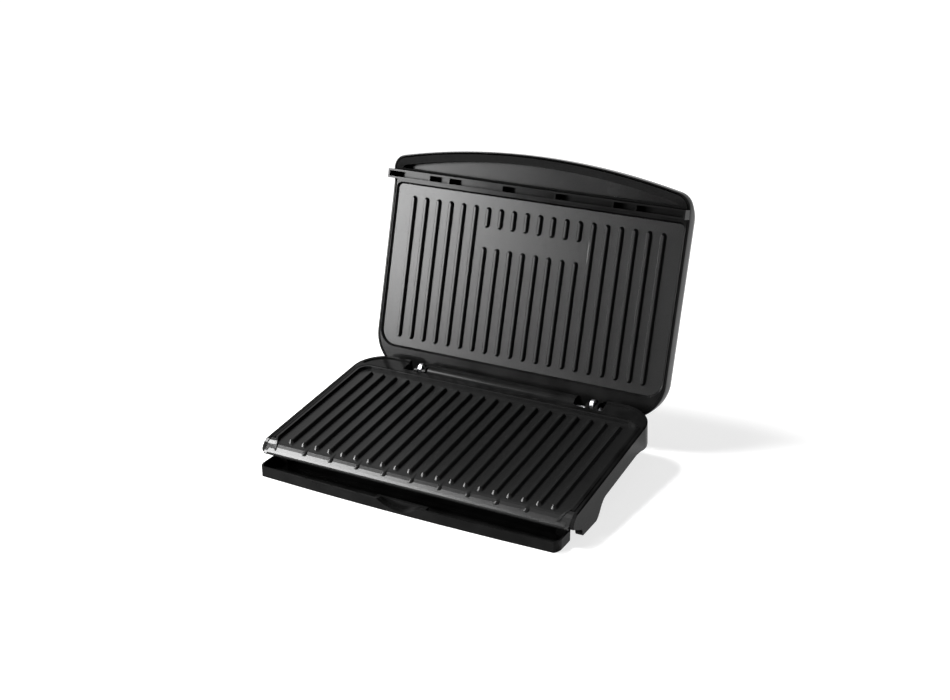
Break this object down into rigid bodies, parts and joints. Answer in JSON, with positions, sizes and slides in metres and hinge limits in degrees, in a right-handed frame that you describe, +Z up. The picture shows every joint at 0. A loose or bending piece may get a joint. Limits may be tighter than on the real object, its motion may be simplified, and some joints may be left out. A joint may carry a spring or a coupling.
{
  "type": "electric indoor grill with hinged lid",
  "caption": "Countertop contact grill: sloping ribbed lower plate over a slide-out drip tray, ribbed upper plate in a lid that stands open on a floating rear hinge.",
  "frame": {"origin": "on the table under the middle of the open grill, the centre of its bounding box", "axes": "+Z up, -Y towards the drip tray and the cook, +X to the cook's right, with the lid open"},
  "size_m": [0.37, 0.3516, 0.3038],
  "materials": {
    "satin_black_shell": "satin black moulding",
    "gloss_black_plastic": "gloss black moulding",
    "nonstick": "satin black non-stick coating on cast metal",
    "steel": "bright stamped steel",
    "zinc_screw": "zinc plated screws",
    "sheath": "dull heating element sheath",
    "shield": "plain aluminium sheet",
    "rubber": "soft dark feet",
    "ceramic": "cream insulating body",
    "wire": "silicone insulated wire",
    "red_lens": "clear red lens",
    "green_lens": "clear green lens"
  },
  "bodies": {
    "base": {"base_shell": "satin_black_shell", "base_rim": "gloss_black_plastic", "base_floor": "satin_black_shell", "rubber_feet": "rubber", "lower_plate": "nonstick", "lower_element": "sheath", "lower_reflector": "shield", "base_screws": "zinc_screw", "lower_plate_screws": "zinc_screw", "hinge_bracket_left": "steel", "hinge_bracket_right": "steel", "bracket_screws": "zinc_screw", "cord_gland": "rubber", "terminal_block": "ceramic", "base_wiring": "wire"},
    "hinge_carriage": {"hinge_rod": "steel", "rod_clips": "zinc_screw"},
    "lid": {"lid_cover": "gloss_black_plastic", "lid_frame": "gloss_black_plastic", "handle_lining": "satin_black_shell", "hinge_tube": "gloss_black_plastic", "upper_plate": "nonstick", "upper_element": "sheath", "upper_reflector": "shield", "upper_plate_screws": "zinc_screw", "lid_screws": "zinc_screw", "thermostat": "ceramic", "thermal_fuse": "steel", "lid_wiring": "wire", "power_lamp": "red_lens", "ready_lamp": "green_lens"},
    "tray": {"drip_tray": "gloss_black_plastic"}
  },
  "joints": [
    {"name": "lid_float", "type": "slide", "parent": "base", "child": "hinge_carriage", "axis": [0, -0.1115, 0.9938], "range_m": [0, 0.008]},
    {"name": "lid_hinge", "type": "hinge", "parent": "hinge_carriage", "child": "lid", "pos_m": [0, 0.06461, 0.04294], "axis": [1, 0, 0], "range_deg": [0, 111.4]},
    {"name": "tray_slide", "type": "slide", "parent": "base", "child": "tray", "axis": [0, -1, 0], "range_m": [0, 0.06]}
  ]
}
